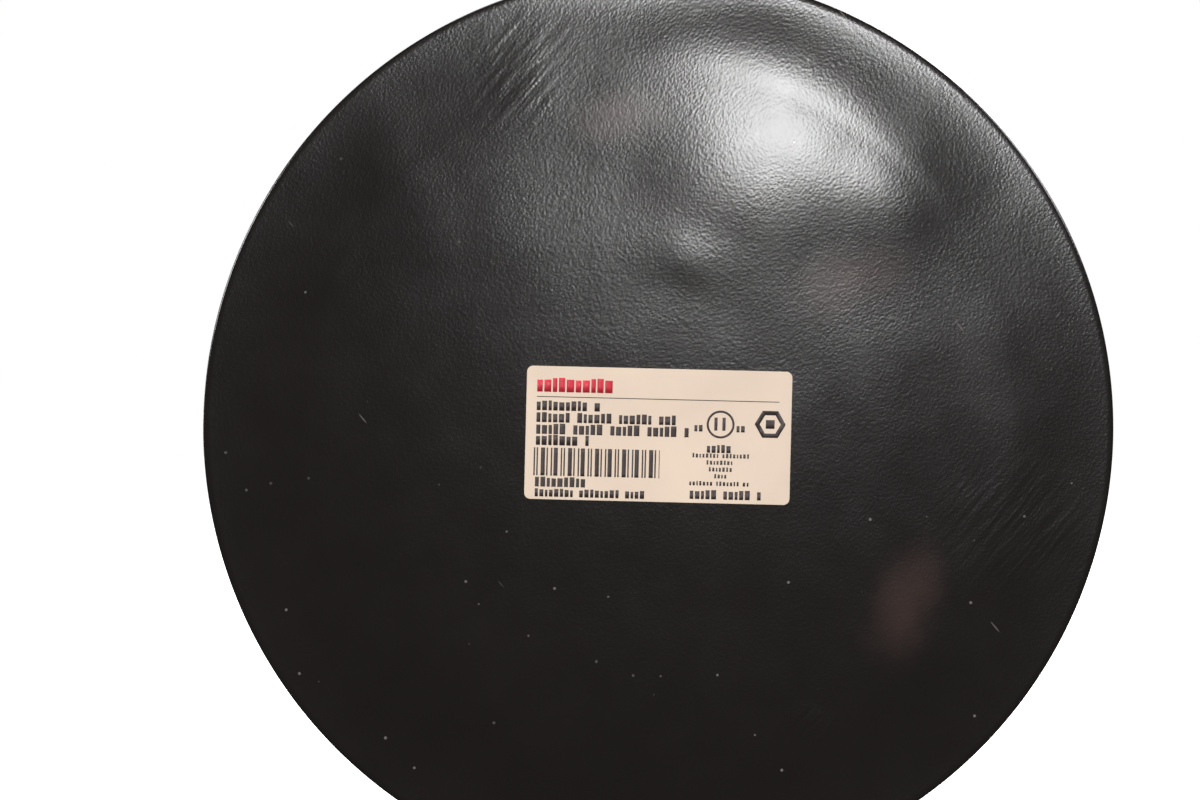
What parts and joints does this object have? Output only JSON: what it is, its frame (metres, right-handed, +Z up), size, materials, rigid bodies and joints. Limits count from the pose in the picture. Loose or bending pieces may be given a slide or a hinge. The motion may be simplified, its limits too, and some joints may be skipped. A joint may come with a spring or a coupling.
{
  "type": "dome camera",
  "caption": "Round surface-mount dome camera with a clear bubble, a foam mounting pad, and a camera module that pans, tilts and turns inside.",
  "frame": {"origin": "centre of the outer face of the mounting pad, where the camera rests on the wall", "axes": "+Y out of the mounting face into the wall, -Y out through the dome, +Z up with the label upright, +X towards the conduit port"},
  "size_m": [0.147, 0.1041, 0.147],
  "materials": {
    "painted_metal": "die-cast aluminium with a fine textured charcoal powder coat",
    "pad_rubber": "soft foam rubber with a leather-like skin",
    "seal_rubber": "smooth matt rubber",
    "label_stock": null,
    "clear_bubble": "clear polycarbonate, polished",
    "lens_glass": "coated optical glass",
    "black_plastic": "fine spark-eroded black plastic",
    "grey_plastic": "satin grey plastic",
    "steel": "stainless steel",
    "zinc": "zinc-plated steel",
    "circuit_board": "green solder mask",
    "chip_black": "moulded black epoxy",
    "terminal_green": "green moulded terminal",
    "nylon": "natural nylon"
  },
  "bodies": {
    "base": {"mounting_pad": "pad_rubber", "rating_label": "label_stock", "base_casting": "painted_metal", "cover_seal": "seal_rubber", "conduit_plug": "painted_metal", "conduit_plug_seal": "seal_rubber", "turntable_track": "grey_plastic", "turntable_clip_1": "zinc", "turntable_clip_2": "zinc", "turntable_clip_3": "zinc", "clip_screw_1": "steel", "clip_screw_2": "steel", "clip_screw_3": "steel", "power_board": "circuit_board", "power_terminal": "terminal_green", "video_socket": "zinc", "power_capacitor": "chip_black"},
    "dome_cover": {"cover_ring": "painted_metal", "dome_bubble": "clear_bubble", "bubble_gasket": "seal_rubber", "bubble_retainer": "zinc", "retainer_screw_1": "steel", "retainer_screw_2": "steel", "retainer_screw_3": "steel", "cover_screw_1": "steel", "cover_screw_2": "steel", "cover_screw_3": "steel", "screw_washer_1": "seal_rubber", "screw_washer_2": "seal_rubber", "screw_washer_3": "seal_rubber"},
    "pan_base": {"turntable": "black_plastic", "bracket_left": "zinc", "bracket_right": "zinc", "bracket_screw_left": "steel", "bracket_screw_right": "steel", "control_board": "circuit_board", "setup_key_switch": "chip_black"},
    "liner": {"dome_liner": "black_plastic"},
    "pan_lock": {"pan_lock_screw": "nylon"},
    "key": {"setup_key": "nylon"},
    "cradle": {"tilt_cradle": "grey_plastic", "friction_washer_left": "zinc", "friction_washer_right": "zinc"},
    "lock_left": {"tilt_lock_left": "black_plastic"},
    "lock_right": {"tilt_lock_right": "black_plastic"},
    "camera_module": {"module_collar": "black_plastic", "module_housing": "black_plastic", "lens_body": "black_plastic", "lens_front": "black_plastic", "front_element": "lens_glass", "ir_cut_filter": "lens_glass", "image_sensor": "chip_black", "sensor_board": "circuit_board", "signal_board": "circuit_board"},
    "zoom": {"zoom_ring": "black_plastic", "zoom_lever": "steel"},
    "focus": {"focus_ring": "black_plastic", "focus_lever": "steel"}
  },
  "joints": [
    {"name": "cover_lift", "type": "slide", "parent": "base", "child": "dome_cover", "axis": [0, -1, 0], "range_m": [0, 0.14]},
    {"name": "pan", "type": "hinge", "parent": "base", "child": "pan_base", "pos_m": [0, -0.0178, 0], "axis": [0, -1, 0], "range_deg": [-175, 175]},
    {"name": "liner_lift", "type": "slide", "parent": "pan_base", "child": "liner", "axis": [0, -1, 0], "range_m": [0, 0.07]},
    {"name": "pan_lock_turn", "type": "hinge", "parent": "pan_base", "child": "pan_lock", "pos_m": [-0.03109, -0.0208, 0.03109], "axis": [0, -1, 0], "range_deg": [0, 360]},
    {"name": "key_press", "type": "slide", "parent": "pan_base", "child": "key", "axis": [0, 1, 0], "range_m": [0, 0.0004], "stiffness_N_per_m": 2000},
    {"name": "tilt", "type": "hinge", "parent": "pan_base", "child": "cradle", "pos_m": [0, -0.05613, 0], "axis": [1, 0, 0], "range_deg": [-35, 45]},
    {"name": "tilt_lock_left_turn", "type": "hinge", "parent": "cradle", "child": "lock_left", "pos_m": [-0.027, -0.05613, 0], "axis": [-1, 0, 0], "range_deg": [0, 360]},
    {"name": "tilt_lock_right_turn", "type": "hinge", "parent": "cradle", "child": "lock_right", "pos_m": [0.027, -0.05613, 0], "axis": [1, 0, 0], "range_deg": [0, 360]},
    {"name": "image_turn", "type": "hinge", "parent": "cradle", "child": "camera_module", "pos_m": [0, -0.05613, 0], "axis": [0, -0.8192, -0.5736], "range_deg": [-90, 90]},
    {"name": "zoom_turn", "type": "hinge", "parent": "camera_module", "child": "zoom", "pos_m": [0, -0.05613, 0], "axis": [0, -0.8192, -0.5736], "range_deg": [-30, 30]},
    {"name": "focus_turn", "type": "hinge", "parent": "camera_module", "child": "focus", "pos_m": [0, -0.05613, 0], "axis": [0, -0.8192, -0.5736], "range_deg": [-50, 50]}
  ],
  "couplings": [
    {"joint": "liner_lift", "follows": "cover_lift", "ratio": 0.5}
  ]
}
